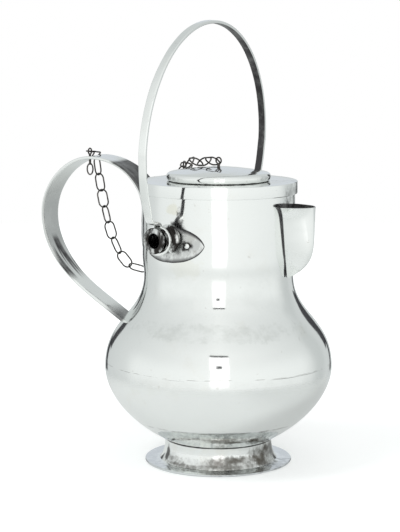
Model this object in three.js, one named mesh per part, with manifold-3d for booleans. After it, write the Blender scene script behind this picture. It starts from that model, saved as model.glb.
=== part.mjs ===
// A silver lidded jug: a bulb body in two halves on a ring foot, a tall neck with a side spout,
// a slip-on lid held by a chain, a broad strap handle, and a bail hung on two lugs.
// Millimetres, +Z up. The spout points to +X and the strap handle to -X. The jug stands on z = 0.
import * as THREE from 'three';
import { mergeVertices } from 'three/addons/utils/BufferGeometryUtils.js';
import Module from 'manifold-3d';

// Body, outside measures
const wall = 1.4;
const bulbRadius = 88.8;
const bulbLevel = 76.4;
const neckRadius = 59.3;
const waistRadius = 58.1;
const waistLevel = 148.2;
const neckFootLevel = 163;
const rimLevel = 219.4;
const floorLevel = 10.2;

// Foot ring
const footSeatRadius = 42.2;
const footWall = 1.4;
const footSeatLevel = 18.5;
const footFlareRadius = 46;
const flangeRadius = 57.7;
const flangeThickness = 1.5;

// Lid
const lidClearance = 0.5;
const lidWall = 1.2;
const lidSkirt = 8;
const lidPlate = 1.3;
const discRadius = 40.6;
const discHeight = 6;
const domeHeight = 4.3;
const discWall = 1.2;
const pinHoleRadius = 1.8;

// Spout
const spoutRimLevel = 203.6;
const spoutReach = 22;
const spoutHalfWidth = 15;
const spoutDepth = 54.5;
const spoutWall = 1.3;
const pourHoleWidth = 10;
const pourHoleTop = 199;
const pourHoleBottom = 172;

// Strap handle, measured along the middle of the strap
const strapThickness = 2.5;
const strapLeafWidth = 32;
const strapTopWidth = 25;
const strapFootWidth = 20;
const leafBottom = 163;
const leafTop = 196;
const loopTop = 234.6;
const loopTopReach = 109;
const loopReach = 155.2;
const loopReachLevel = 187;
const loopFootReach = 108.2;
const loopFootLevel = 122.2;
const handleRivetLevel = 168.5;

// Bail and its lugs: the pivot line runs along Y
const pivotX = -14.4;
const pivotLevel = 180.9;
const pivotHalfSpan = 70.9;
const bailLean = 3;
const bailHalfWidth = 98.7;
const bailWideLevel = 65.9;
const bailHeight = 161.5;
const bailStrapWidth = 6.1;
const bailThickness = 2.6;
const eyeRadius = 11.4;
const bossRadius = 7.8;
const eyeClearance = 0.5;
const bailLipClearance = 2.0;
const bossBaseRadius = 11;
const bossLipRadius = 9.9;
const bossLipThickness = 1.8;
const bossLipGap = 2.2;
const bossHoleRadius = 5.4;
const bossFloor = 3;
const plateThickness = 1.2;
const plateHalfAngle = 28.5;
const plateHalfHeight = 13.6;
const plateDrop = 4.3;
const plateFullness = 2.3;
const plateTaper = 0.62;
const plateTip = 1.2;
const rivetRadius = 1.1;
const rivetHeadRadius = 2.1;
const rivetHeadHeight = 1.1;
const rivetInset = 13;

// Chain and its two pins
const wireRadius = 0.6;
const linkPitch = 13.38;
const linkWidth = 9;
const linkPlay = 0.6;
const hangingLinks = 15;
const lidLinks = 6;
const lidLinkTilt = 42;
const pinEyeHeight = 5;
const pinWireRadius = 0.6;
const pinRingRadius = 2.4;
const pinShankRadius = 1.2;
const handlePinReach = 116.5;
const hookWireRadius = 0.6;
const hookSlant = 4.9;
const hookDrop = 2.3;
const handlePinDrop = 8.6;
const chainRimBearing = 142.6;
const chainRimClear = 5.5;

// Fits and fineness
const fitGap = 0.3;
const turnSteps = 48;
const smallTurnSteps = 24;

const degrees = THREE.MathUtils.degToRad;
const vec = (x, y, z) => new THREE.Vector3(x, y, z);
const point = (x, y) => new THREE.Vector2(x, y);

const wasm = await Module();
wasm.setup();

// Materials
const silver = () => new THREE.MeshStandardMaterial({ color: 0xd9dad8, roughness: 0.16, metalness: 1 });
const darkSilver = () => new THREE.MeshStandardMaterial({ color: 0x8f8b86, roughness: 0.34, metalness: 1 });

// Shared vertices, no flat triangles and faces pointing out
function closedBody(geometry) {
  const bare = geometry.clone();
  bare.deleteAttribute('normal');
  bare.deleteAttribute('uv');
  const merged = mergeVertices(bare, 1e-4);
  const positions = merged.attributes.position;
  const corners = [vec(0, 0, 0), vec(0, 0, 0), vec(0, 0, 0)];
  const faces = [];
  let volume = 0;
  for (let i = 0; i < merged.index.count; i += 3) {
    const face = [0, 1, 2].map((k) => merged.index.getX(i + k));
    if (face[0] === face[1] || face[1] === face[2] || face[2] === face[0]) continue;
    face.forEach((vertex, k) => corners[k].fromBufferAttribute(positions, vertex));
    volume += corners[0].dot(corners[1].clone().cross(corners[2]));
    faces.push(face);
  }
  const index = faces.flatMap((face) => (volume < 0 ? [face[0], face[2], face[1]] : face));
  const body = new THREE.BufferGeometry();
  body.setAttribute('position', positions.clone());
  body.setIndex(index);
  return body;
}

function toManifold(geometry) {
  const body = closedBody(geometry);
  const vertProperties = new Float32Array(body.attributes.position.array);
  const triVerts = new Uint32Array(body.index.array);
  return new wasm.Manifold(new wasm.Mesh({ numProp: 3, vertProperties, triVerts }));
}

function fromManifold(manifold) {
  const mesh = manifold.getMesh();
  const geometry = new THREE.BufferGeometry();
  geometry.setAttribute('position', new THREE.BufferAttribute(new Float32Array(mesh.vertProperties), 3));
  geometry.setIndex(Array.from(mesh.triVerts));
  return geometry;
}

const join = (...shapes) => fromManifold(shapes.map(toManifold).reduce((a, b) => a.add(b)));
const cut = (shape, ...tools) => fromManifold(tools.map(toManifold).reduce((a, b) => a.subtract(b), toManifold(shape)));

// A body turned round Z from points (radius, height). An outline off the axis is closed here.
function turned(profile, steps = turnSteps) {
  const line = profile[0].x > 0 ? [...profile, profile[0].clone()] : profile;
  return new THREE.LatheGeometry(line, steps).rotateX(Math.PI / 2);
}

// A body through rings of points. Rings have an even number of points, and an open run gets end faces.
function loft(rings, closed = false) {
  const sides = rings[0].length;
  const positions = rings.flat().flatMap((p) => [p.x, p.y, p.z]);
  const index = [];
  const runs = closed ? rings.length : rings.length - 1;
  for (let i = 0; i < runs; i += 1) {
    const next = (i + 1) % rings.length;
    for (let k = 0; k < sides; k += 1) {
      const a = i * sides + k;
      const b = i * sides + ((k + 1) % sides);
      const c = next * sides + ((k + 1) % sides);
      const d = next * sides + k;
      index.push(a, b, c, a, c, d);
    }
  }
  if (!closed) {
    const last = (rings.length - 1) * sides;
    for (let k = 0; k < sides / 2 - 1; k += 1) {
      const [a, b, c, d] = [k, k + 1, sides - 2 - k, sides - 1 - k];
      index.push(a, c, b, a, d, c);
      index.push(last + a, last + b, last + c, last + a, last + c, last + d);
    }
  }
  const geometry = new THREE.BufferGeometry();
  geometry.setAttribute('position', new THREE.Float32BufferAttribute(positions, 3));
  geometry.setIndex(index);
  return geometry;
}

// Round wire along points; flat is a direction that the wire never runs along
function wire(path, radius, flat, closed = false, sides = 6) {
  const count = path.length;
  const rings = path.map((centre, i) => {
    const before = closed ? path[(i + count - 1) % count] : path[Math.max(i - 1, 0)];
    const after = closed ? path[(i + 1) % count] : path[Math.min(i + 1, count - 1)];
    const along = after.clone().sub(before).normalize();
    const side = flat.clone().cross(along).normalize();
    const up = along.clone().cross(side);
    return Array.from({ length: sides }, (_, k) => {
      const turn = (2 * Math.PI * (k + 0.5)) / sides;
      return centre.clone().addScaledVector(side, radius * Math.cos(turn)).addScaledVector(up, radius * Math.sin(turn));
    });
  });
  return loft(rings, closed);
}

// Points moved sideways off a line of (radius, height) points; plus is to the left of its run
function offset(line, distance) {
  return line.map((p, i) => {
    const before = line[Math.max(i - 1, 0)];
    const after = line[Math.min(i + 1, line.length - 1)];
    const run = after.clone().sub(before).normalize();
    return point(p.x - run.y * distance, p.y + run.x * distance);
  });
}

const jug = new THREE.Group();

function add(name, geometry, material, parent = jug) {
  const mesh = new THREE.Mesh(closedBody(geometry), material);
  mesh.name = name;
  parent.add(mesh);
  return mesh;
}

// Outline of the body
const bulbLower = new THREE.CubicBezierCurve(
  point(footSeatRadius + 2, footSeatLevel + 1.2), point(64.5, 30.2),
  point(bulbRadius, bulbLevel - 24.4), point(bulbRadius, bulbLevel),
).getPoints(7);
const bulbUpper = new THREE.CubicBezierCurve(
  point(bulbRadius, bulbLevel), point(bulbRadius, bulbLevel + 36.6),
  point(waistRadius, waistLevel - 32.2), point(waistRadius, waistLevel),
).getPoints(9);
const neckLine = [point(neckRadius, neckFootLevel), point(neckRadius, rimLevel)];
const footSeat = [point(footSeatRadius - footWall, footSeatLevel - 0.8), point(footSeatRadius, footSeatLevel)];
const floorCurve = new THREE.QuadraticBezierCurve(point(0, floorLevel), point(26, floorLevel), footSeat[0]).getPoints(3);

const lowerLine = [...floorCurve, footSeat[1], ...bulbLower];
const upperLine = [...bulbUpper, ...neckLine];

// The space that the body fills, grown by a gap, for trimming what is soldered on to it
function bodyCore(gap) {
  const line = [...lowerLine, ...upperLine.slice(1)];
  const grown = offset(line, -gap).map((p) => point(Math.max(p.x, 0), p.y));
  return turned([point(0, grown[0].y), ...grown.slice(1), point(0, rimLevel)]);
}

// Placing something on the neck: its own +Z points out along the radius at a bearing from +X
function outwards(geometry, bearing, level) {
  return geometry.clone().rotateY(Math.PI / 2).rotateZ(bearing).translate(0, 0, level);
}

// Lower half, from the floor to the seam
function lowerBody() {
  const outer = lowerLine;
  const inner = offset(outer, wall);
  inner[0].x = 0;
  inner[inner.length - 1].set(bulbRadius - wall, bulbLevel);
  add('body_lower', turned([...outer, ...inner.reverse()]), silver());
}

// Upper half, from the seam to the rim, with the pouring hole and the rivet holes
const lugBearing = Math.atan2(pivotHalfSpan, pivotX);
const rivetBearings = [1, -1].map((side) => lugBearing + side * degrees(plateHalfAngle) - side * (rivetInset / neckRadius));
const rivetLevel = pivotLevel - plateDrop;

function upperBody() {
  const inner = offset(upperLine, wall);
  inner[0].set(bulbRadius - wall, bulbLevel);
  inner[inner.length - 1].set(neckRadius - wall, rimLevel);
  const shell = turned([...upperLine, ...inner.reverse()]);
  const radius = pourHoleWidth / 2;
  const outline = new THREE.Shape();
  outline.absarc(0, pourHoleTop - radius, radius, 0, Math.PI);
  outline.absarc(0, pourHoleBottom + radius, radius, Math.PI, 2 * Math.PI);
  const hole = new THREE.ExtrudeGeometry(outline, { depth: 2 * wall + 4, bevelEnabled: false, curveSegments: 8 });
  hole.rotateX(Math.PI / 2).rotateZ(Math.PI / 2).translate(neckRadius - wall - 2, 0, 0);
  const drills = [1, -1].flatMap((side) => rivetBearings.map((bearing) => rivetDrill(side * bearing, rivetLevel)));
  add('body_upper', cut(shell, hole, ...drills, rivetDrill(Math.PI, handleRivetLevel)), silver());
}

// Rivets go through the neck, with a head on what they hold and a smaller one inside
function rivetDrill(bearing, level) {
  const length = 2 * (wall + plateThickness + strapThickness) + 4;
  const drill = new THREE.CylinderGeometry(rivetRadius + fitGap, rivetRadius + fitGap, length, 10).rotateX(Math.PI / 2);
  return outwards(drill.translate(0, 0, neckRadius), bearing, level);
}

function rivet(name, bearing, level, seat) {
  const tail = neckRadius - wall - fitGap;
  const head = seat + 0.1;
  const profile = [
    point(0, tail - rivetHeadHeight), point(rivetHeadRadius * 0.6, tail - rivetHeadHeight), point(rivetHeadRadius, tail - 0.3),
    point(rivetHeadRadius, tail), point(rivetRadius, tail), point(rivetRadius, head), point(rivetHeadRadius, head),
    point(rivetHeadRadius, head + 0.3), point(rivetHeadRadius * 0.6, head + rivetHeadHeight), point(0, head + rivetHeadHeight),
  ];
  add(name, outwards(turned(profile, 10), bearing, level), silver());
}

// Ring foot: a waisted wall that flares into a flat flange
function footRing() {
  const flare = new THREE.QuadraticBezierCurve(
    footSeat[1], point(footSeatRadius - 1.2, footSeatLevel * 0.45), point(footFlareRadius, flangeThickness + 0.6),
  ).getPoints(6);
  const inside = new THREE.QuadraticBezierCurve(
    point(footFlareRadius - footWall - 0.8, 0), point(footSeatRadius - footWall - 1.4, footSeatLevel * 0.45), footSeat[0],
  ).getPoints(6);
  const flange = [
    point(footFlareRadius + 3, flangeThickness), point(flangeRadius - 0.5, flangeThickness),
    point(flangeRadius, flangeThickness / 2), point(flangeRadius - 0.4, 0),
  ];
  const profile = [...flare, ...flange, ...inside];
  add('foot_ring', turned(profile), silver());
}

// Lid: a slip-on cap, and a domed disc soldered on top
const lidTop = rimLevel + lidPlate;
const lidInnerRadius = neckRadius + lidClearance;
const lidOuterRadius = lidInnerRadius + lidWall;
const domeRise = (radius) => domeHeight * (1 - (radius / discRadius) ** 2);

function lid() {
  const bottom = rimLevel - lidSkirt;
  const cap = [
    point(pinHoleRadius, rimLevel), point(lidInnerRadius, rimLevel), point(lidInnerRadius, bottom),
    point(lidOuterRadius, bottom), point(lidOuterRadius, lidTop - 0.6), point(lidOuterRadius - 0.6, lidTop),
    point(pinHoleRadius, lidTop),
  ];
  add('lid_cap', turned(cap), silver());
  const top = lidTop + discHeight;
  const dome = [0.9, 0.65, 0.35].map((share) => share * discRadius);
  const outer = [
    point(discRadius - 1.4, lidTop), point(discRadius, lidTop + 1.6), point(discRadius, top - 1.8),
    point(discRadius - 0.9, top - 0.3), ...dome.map((r) => point(r, top + domeRise(r))),
    point(pinHoleRadius, top + domeHeight),
  ];
  const inner = [
    point(pinHoleRadius, top + domeHeight - discWall),
    ...dome.reverse().map((r) => point(r, top + domeRise(r) - discWall)),
    point(discRadius - discWall, top - 2.2), point(discRadius - discWall, lidTop + 1.8),
    point(discRadius - discWall - 1.4, lidTop),
  ];
  add('lid_disc', turned([...outer, ...inner]), silver());
}

// Spout: half a cup, widest at its rim and narrowing to a rounded keel
const spoutStations = [
  { down: 0, wide: 1, out: 1 }, { down: 0.05, wide: 0.86, out: 1 }, { down: 0.13, wide: 0.74, out: 1 },
  { down: 0.3, wide: 0.62, out: 1 }, { down: 0.5, wide: 0.5, out: 0.985 }, { down: 0.66, wide: 0.39, out: 0.92 },
  { down: 0.78, wide: 0.29, out: 0.78 }, { down: 0.88, wide: 0.19, out: 0.55 }, { down: 0.95, wide: 0.11, out: 0.3 },
  { down: 1, wide: 0.05, out: 0.1 },
];

function spoutSolid(inset, raise) {
  const embed = 8;
  const steps = 12;
  const rings = spoutStations.map(({ down, wide, out }) => {
    const halfWidth = Math.max(spoutHalfWidth * wide - inset, 0.4);
    const reach = Math.max(spoutReach * out - inset, 0.4);
    const level = spoutRimLevel - spoutDepth * down + inset * down + (down === 0 ? raise : 0);
    const bow = Array.from({ length: steps + 1 }, (_, i) => {
      const turn = -Math.PI / 2 + (Math.PI * i) / steps;
      return vec(neckRadius + reach * Math.cos(turn), halfWidth * Math.sin(turn), level);
    });
    const back = [vec(neckRadius - embed, halfWidth, level), vec(neckRadius - embed, 0, level), vec(neckRadius - embed, -halfWidth, level)];
    return [...bow, ...back];
  });
  return loft(rings);
}

function spout() {
  add('spout', cut(spoutSolid(0, 0), spoutSolid(spoutWall, 2), bodyCore(fitGap)), silver());
}

// Strap handle: a leaf lying on the neck, a loop, and a foot on the shoulder
function strapHandle() {
  const leafRadius = neckRadius + fitGap + strapThickness / 2;
  const rise = new THREE.CubicBezierCurve(
    point(leafRadius, leafTop), point(leafRadius, leafTop + 23), point(leafRadius + 23, loopTop), point(loopTopReach, loopTop),
  );
  const fall = new THREE.CubicBezierCurve(
    point(loopTopReach, loopTop), point(loopTopReach + 24, loopTop),
    point(loopReach, loopReachLevel + 24), point(loopReach, loopReachLevel),
  );
  const sweepIn = new THREE.CubicBezierCurve(
    point(loopReach, loopReachLevel), point(loopReach, loopReachLevel - 29),
    point(loopFootReach + 25.5, loopFootLevel + 15.9), point(loopFootReach, loopFootLevel),
  );
  const stations = [];
  const leafWidths = [[0, 0.3], [0.03, 0.6], [0.1, 0.84], [0.22, 0.96], [0.45, 1], [0.75, 0.98]];
  for (const [share, width] of leafWidths) {
    const level = leafBottom + share * (leafTop - leafBottom);
    stations.push({ at: point(leafRadius, level), run: point(0, 1), width: strapLeafWidth * width, wrap: 1 });
  }
  const riseSteps = 10;
  for (let i = 0; i <= riseSteps; i += 1) {
    const share = i / riseSteps;
    const width = THREE.MathUtils.lerp(strapLeafWidth * 0.94, strapTopWidth, Math.min(1, share * 1.6));
    const wrap = Math.max(0, 1 - share * 2.2);
    stations.push({ at: rise.getPoint(share), run: rise.getTangent(share), width, wrap });
  }
  const loopSteps = 11;
  [fall, sweepIn].forEach((curve, half) => {
    for (let i = 1; i <= loopSteps; i += 1) {
      const share = i / loopSteps;
      const width = THREE.MathUtils.lerp(strapTopWidth, strapFootWidth, (half + share) / 2);
      stations.push({ at: curve.getPoint(share), run: curve.getTangent(share), width, wrap: 0 });
    }
  });
  const inwards = sweepIn.getTangent(1);
  const toBody = stations[stations.length - 1].at.clone().addScaledVector(inwards, loopFootReach - bulbRadius + 20);
  stations.push({ at: toBody, run: inwards, width: strapFootWidth, wrap: 0 });

  const columns = 6;
  const rings = stations.map(({ at, run, width, wrap }) => {
    const skin = (side) => Array.from({ length: columns + 1 }, (_, i) => {
      const y = width * (i / columns - 0.5);
      const radius = leafRadius + (side * strapThickness) / 2;
      const hollow = wrap * (radius - Math.sqrt(radius * radius - y * y));
      const reach = at.x + (side * run.y * strapThickness) / 2 - hollow;
      return vec(-reach, y, at.y - (side * run.x * strapThickness) / 2);
    });
    return [...skin(1), ...skin(-1).reverse()];
  });
  add('side_handle', cut(loft(rings), bodyCore(fitGap), handlePinHole(), rivetDrill(Math.PI, handleRivetLevel)), silver());
  rivet('handle_rivet', Math.PI, handleRivetLevel, leafRadius + strapThickness / 2);
}

// Where the strap's top face is, for the pin that goes through it
function handlePinHole() {
  const hole = new THREE.CylinderGeometry(pinShankRadius + fitGap, pinShankRadius + fitGap, 12, 10).rotateX(Math.PI / 2);
  return hole.translate(-handlePinReach, 0, loopTop);
}

// A lug: a plate bent round the neck, a hollow boss standing on it and two rivets
const plateOuterRadius = neckRadius + fitGap + plateThickness;
const bossEnd = Math.hypot(pivotX, pivotHalfSpan) + bailThickness / 2 + bossLipGap + bossLipThickness;

function lugPlate(name, side) {
  const steps = 18;
  const rings = Array.from({ length: steps + 1 }, (_, i) => {
    const share = (2 * i) / steps - 1;
    const bearing = side * lugBearing + degrees(plateHalfAngle) * share;
    const half = Math.max(plateHalfHeight * (1 - Math.abs(share) ** plateFullness) ** plateTaper, plateTip);
    const corner = (radius, z) => vec(radius * Math.cos(bearing), radius * Math.sin(bearing), rivetLevel + z);
    const inner = neckRadius + fitGap;
    return [corner(inner, -half), corner(plateOuterRadius, -half), corner(plateOuterRadius, half), corner(inner, half)];
  });
  const drills = rivetBearings.map((bearing) => rivetDrill(side * bearing, rivetLevel));
  add(name, cut(loft(rings), ...drills), silver());
}

function lugBoss(name, side) {
  const lipStart = bossEnd - bossLipThickness;
  const base = plateOuterRadius - 3;
  const profile = [
    point(0, base), point(bossBaseRadius, base), point(bossBaseRadius, plateOuterRadius + 0.6),
    point(bossRadius + 0.8, plateOuterRadius + 1.8), point(bossRadius, plateOuterRadius + 3.4),
    point(bossRadius, lipStart - 0.4), point(bossLipRadius, lipStart), point(bossLipRadius, bossEnd - 0.6),
    point(bossLipRadius - 0.8, bossEnd), point(bossHoleRadius + 0.8, bossEnd), point(bossHoleRadius, bossEnd - 0.9),
    point(bossHoleRadius, plateOuterRadius + bossFloor), point(0, plateOuterRadius + bossFloor),
  ];
  const boss = outwards(turned(profile, smallTurnSteps), side * lugBearing, pivotLevel);
  const seat = new THREE.CylinderGeometry(plateOuterRadius + fitGap, plateOuterRadius + fitGap, 60, 96).rotateX(Math.PI / 2);
  add(name, cut(boss, seat.translate(0, 0, pivotLevel)), silver());
}

function lugRivets(name, side) {
  rivetBearings.forEach((bearing, i) => rivet(`${name}_${i === 0 ? 'back' : 'front'}`, side * bearing, rivetLevel, plateOuterRadius));
}

// Bail: a flat hoop, each end an eye round a boss. It is built upright and then leaned.
function bail() {
  // Each leg leaves its eye, runs out over the boss's lip and then climbs. Shares are of the way out and up.
  const lipRun = bossLipRadius + bailLipClearance + bailThickness / 2;
  const climb = (out, up) => point(
    THREE.MathUtils.lerp(pivotHalfSpan, bailHalfWidth, out), THREE.MathUtils.lerp(lipRun, bailWideLevel, up),
  );
  const legHalf = [
    point(pivotHalfSpan, eyeRadius - 2), climb(0.02, -0.028), climb(0.122, 0), climb(0.295, 0.008), climb(0.45, 0.037),
    climb(0.555, 0.1), climb(0.65, 0.226), climb(0.77, 0.376), climb(0.914, 0.645), climb(1, 1),
  ];
  const leg = new THREE.SplineCurve(legHalf).getPoints(27);
  const archSteps = 32;
  const arch = Array.from({ length: archSteps - 1 }, (_, i) => {
    const turn = (Math.PI * (i + 1)) / archSteps;
    return point(bailHalfWidth * Math.cos(turn), bailWideLevel + (bailHeight - bailWideLevel) * Math.sin(turn));
  });
  const mirrored = leg.map((p) => point(-p.x, p.y)).reverse();
  const line = [...leg, ...arch, ...mirrored];
  const chamfer = 0.6;
  const [w, t] = [bailStrapWidth / 2, bailThickness / 2];
  const section = [[-w, -t + chamfer], [-w + chamfer, -t], [w - chamfer, -t], [w, -t + chamfer],
    [w, t - chamfer], [w - chamfer, t], [-w + chamfer, t], [-w, t - chamfer]];
  const rings = line.map((p, i) => {
    const before = line[Math.max(i - 1, 0)];
    const after = line[Math.min(i + 1, line.length - 1)];
    const run = after.clone().sub(before).normalize();
    return section.map(([across, out]) => vec(across, p.x + run.y * out, p.y - run.x * out));
  });
  const hole = bossRadius + eyeClearance;
  const eyeProfile = [point(hole, -t), point(eyeRadius, -t), point(eyeRadius, t), point(hole, t)];
  const eye = turned(eyeProfile, smallTurnSteps).rotateX(Math.PI / 2);
  const drill = new THREE.CylinderGeometry(hole, hole, 4 * bailThickness, smallTurnSteps);
  const eyes = [-1, 1].map((side) => eye.clone().translate(0, side * pivotHalfSpan, 0));
  const drills = [-1, 1].map((side) => drill.clone().translate(0, side * pivotHalfSpan, 0));
  const hoop = cut(join(loft(rings), ...eyes), ...drills);
  const pivot = new THREE.Group();
  pivot.position.set(pivotX, 0, pivotLevel);
  pivot.rotation.y = degrees(bailLean);
  jug.add(pivot);
  add('bail_hoop', hoop, silver(), pivot);
}

// Chain: oval links, each turned a quarter to the next
const linkReach = linkPitch / 2 + wireRadius + linkPlay / 2;

function link(name, from, to, roll, lean) {
  const endSteps = 5;
  const half = linkWidth / 2;
  const middle = from.clone().add(to).multiplyScalar(0.5);
  const along = to.clone().sub(from).normalize();
  const level = lean.clone().addScaledVector(along, -lean.dot(along)).normalize();
  const across = level.clone().applyAxisAngle(along, roll);
  const face = along.clone().cross(across);
  const path = [];
  for (const end of [1, -1]) {
    for (let i = 0; i <= endSteps; i += 1) {
      const turn = Math.PI * (i / endSteps - 0.5) + (end < 0 ? Math.PI : 0);
      const run = end * (linkReach - half) + half * Math.cos(turn);
      path.push(middle.clone().addScaledVector(along, run).addScaledVector(across, half * Math.sin(turn)));
    }
  }
  add(name, wire(path, wireRadius, face, true), darkSilver());
}

// Knots of a chain of equal links hung between two points. The slope of link i is (i - low) * droop.
function hangingKnots(start, end, count, pitch) {
  const span = Math.hypot(end.x - start.x, end.y - start.y);
  const rise = end.z - start.z;
  const slopes = (low, droop) => Array.from({ length: count }, (_, i) => Math.atan((i - low) * droop));
  const total = (angles, part) => angles.reduce((sum, angle) => sum + part(angle), 0) * pitch;
  const halve = (low, high, tooHigh) => {
    let [a, b] = [low, high];
    for (let i = 0; i < 60; i += 1) {
      const middle = (a + b) / 2;
      if (tooHigh(middle)) b = middle;
      else a = middle;
    }
    return (a + b) / 2;
  };
  const lowest = (droop) => halve(-count, 2 * count, (low) => total(slopes(low, droop), Math.sin) < rise);
  const droop = halve(1e-3, 20, (guess) => total(slopes(lowest(guess), guess), Math.cos) < span);
  const heading = vec(end.x - start.x, end.y - start.y, 0).normalize();
  const knots = [start.clone()];
  for (const angle of slopes(lowest(droop), droop)) {
    const step = heading.clone().multiplyScalar(Math.cos(angle) * pitch).setZ(Math.sin(angle) * pitch);
    knots.push(knots[knots.length - 1].clone().add(step));
  }
  return knots;
}

const discTop = lidTop + discHeight;
const linkSide = linkWidth / 2 + wireRadius;
const linkLift = (linkWidth / 2) * Math.sin(degrees(lidLinkTilt)) + wireRadius + fitGap;
const chainHook = vec(-handlePinReach - hookSlant, strapTopWidth / 2 + linkSide + fitGap, loopTop - hookDrop);
const chainRim = vec(Math.cos(degrees(chainRimBearing)), Math.sin(degrees(chainRimBearing)), 0)
  .multiplyScalar(lidOuterRadius + chainRimClear).setZ(lidTop + linkSide + fitGap);
const lidPinEye = vec(0, 0, discTop + domeHeight + pinEyeHeight);

function hangingChain() {
  const knots = hangingKnots(chainHook, chainRim, hangingLinks, linkPitch);
  const level = vec(-(chainRim.y - chainHook.y), chainRim.x - chainHook.x, 0);
  // The first link hangs square to the strap, and the last few turn less, to meet the rim square on
  const firstRolls = [18, -60];
  const evenLinks = 10;
  for (let i = 0; i < hangingLinks; i += 1) {
    const slant = i % 2 ? -45 : 45;
    const roll = firstRolls[i] ?? (i < evenLinks ? slant : 45 + 67.5 * (i - evenLinks));
    link(`chain_link_${String(i + 1).padStart(2, '0')}`, knots[i], knots[i + 1], degrees(roll), level);
  }
}

function chainOnLid() {
  const onDisc = (x, y) => vec(x, y, discTop + domeRise(Math.hypot(x, y)) + linkLift);
  const route = new THREE.CatmullRomCurve3([
    chainRim,
    vec(-46, 31, chainRim.z + 0.6),
    onDisc(-36.5, 19).add(vec(0, 0, 1.6)),
    onDisc(-25, 12).add(vec(0, 0, 0.3)),
    onDisc(-12.5, 6),
    lidPinEye,
  ], false, 'centripetal');
  const length = route.getLength();
  const reach = linkReach - 2 * wireRadius - fitGap;
  for (let i = 0; i < lidLinks; i += 1) {
    const middle = THREE.MathUtils.lerp(reach, length - linkReach, i / (lidLinks - 1));
    const from = route.getPointAt((middle - reach) / length);
    const to = route.getPointAt((middle + reach) / length);
    const tilt = Math.max(lidLinkTilt, 90 - 15 * i);
    const roll = degrees(i % 2 ? Math.max(tilt - 90, -lidLinkTilt) : tilt);
    link(`lid_link_${i + 1}`, from, to, roll, vec(0, 0, 1).cross(to.clone().sub(from)));
  }
}

// A round eye of wire standing on a shank
function eyeRing(centre, ringRadius, wireSize, axis) {
  const steps = 12;
  const across = axis.clone().cross(vec(0, 0, 1)).normalize();
  const path = Array.from({ length: steps }, (_, i) => {
    const turn = (2 * Math.PI * i) / steps;
    return centre.clone().addScaledVector(across, ringRadius * Math.cos(turn)).add(vec(0, 0, ringRadius * Math.sin(turn)));
  });
  return wire(path, wireSize, axis, true);
}

// The lid's split pin: an eye above the disc, a shank through both sheets and two bent tails below
function lidPin() {
  const shankTop = lidPinEye.z - pinRingRadius + 0.3;
  const tailLevel = rimLevel - 1.2;
  const shank = new THREE.CylinderGeometry(pinShankRadius, pinShankRadius, shankTop - tailLevel, 10).rotateX(Math.PI / 2);
  shank.translate(0, 0, (shankTop + tailLevel) / 2);
  const tails = wire([vec(-6, 0, tailLevel), vec(0, 0, tailLevel), vec(6, 0, tailLevel)], 0.8, vec(0, 1, 0));
  const eye = eyeRing(lidPinEye, pinRingRadius, pinWireRadius, vec(0.1, 1, 0).normalize());
  add('lid_pin', join(shank, tails, eye), darkSilver());
}

// The handle's pin: an eye above the strap, a shank through it and a long loop below
function handlePin() {
  const strapTop = loopTop + strapThickness / 2;
  const eyeLevel = strapTop + pinRingRadius + 0.8;
  const loopHalf = 3.6;
  const loopLevel = loopTop - strapThickness / 2 - handlePinDrop;
  const shankTop = eyeLevel - pinRingRadius + 0.3;
  const shankBottom = loopLevel + loopHalf;
  const shank = new THREE.CylinderGeometry(pinShankRadius * 0.8, pinShankRadius * 0.8, shankTop - shankBottom + 1, 10);
  shank.rotateX(Math.PI / 2).translate(-handlePinReach, 0, (shankTop + shankBottom) / 2);
  const eye = eyeRing(vec(-handlePinReach, 0, eyeLevel), pinRingRadius, pinWireRadius, vec(1, 0, 0));
  const steps = 16;
  const loop = wire(Array.from({ length: steps }, (_, i) => {
    const turn = (2 * Math.PI * i) / steps;
    const across = 2.3 * Math.cos(turn);
    return vec(-handlePinReach + across * 0.88, across * 0.47, loopLevel + (loopHalf + 0.8) * Math.sin(turn));
  }), pinWireRadius, vec(-0.47, 0.88, 0), true);
  add('handle_pin', join(shank, eye, loop), darkSilver());
}

// The three-cornered link that leads the chain over the far edge of the strap
function hookLink() {
  const strapTop = loopTop + strapThickness / 2;
  const edge = strapTopWidth / 2;
  const pin = vec(-handlePinReach, 0, strapTop + pinRingRadius + 0.8);
  const tip = chainHook.clone().add(vec(0, 0, -wireRadius - linkPlay / 2));
  const corners = [
    [3.4, vec(pin.x, 0.5, pin.z)], [3.2, vec(pin.x - 0.2, edge * 0.5, pin.z - 0.8)], [2.9, vec(pin.x - 0.7, edge, strapTop + 1.3)],
    [2.2, vec(tip.x, tip.y - 3, tip.z + 1.9)], [1, vec(tip.x, tip.y - 0.5, tip.z + 0.2)],
  ];
  const path = new THREE.CatmullRomCurve3([
    ...corners.map(([half, at]) => at.clone().add(vec(half, 0, 0))), tip,
    ...corners.reverse().map(([half, at]) => at.clone().add(vec(-half, 0, 0))), pin,
  ], true, 'centripetal').getPoints(30).slice(0, -1);
  add('chain_hook_link', wire(path, hookWireRadius, vec(0, 0.35, 1).normalize(), true), darkSilver());
}

lowerBody();
upperBody();
footRing();
lid();
spout();
strapHandle();
handlePin();
hookLink();
for (const [end, side] of [['near', -1], ['far', 1]]) {
  lugPlate(`lug_plate_${end}`, side);
  lugBoss(`lug_boss_${end}`, side);
  lugRivets(`lug_rivet_${end}`, side);
}
bail();
hangingChain();
lidPin();
chainOnLid();

// The origin is under the middle of the jug's whole length, from the handle to the bulb
jug.position.x = (loopReach + strapThickness / 2 - bulbRadius) / 2;

const part = new THREE.Group();
part.add(jug);
export default part;
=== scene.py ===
# A lidded silver jug on a pale floor, seen from the photograph's side
import math
from collections import namedtuple
import bpy
import numpy as np
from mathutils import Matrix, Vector, noise


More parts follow.
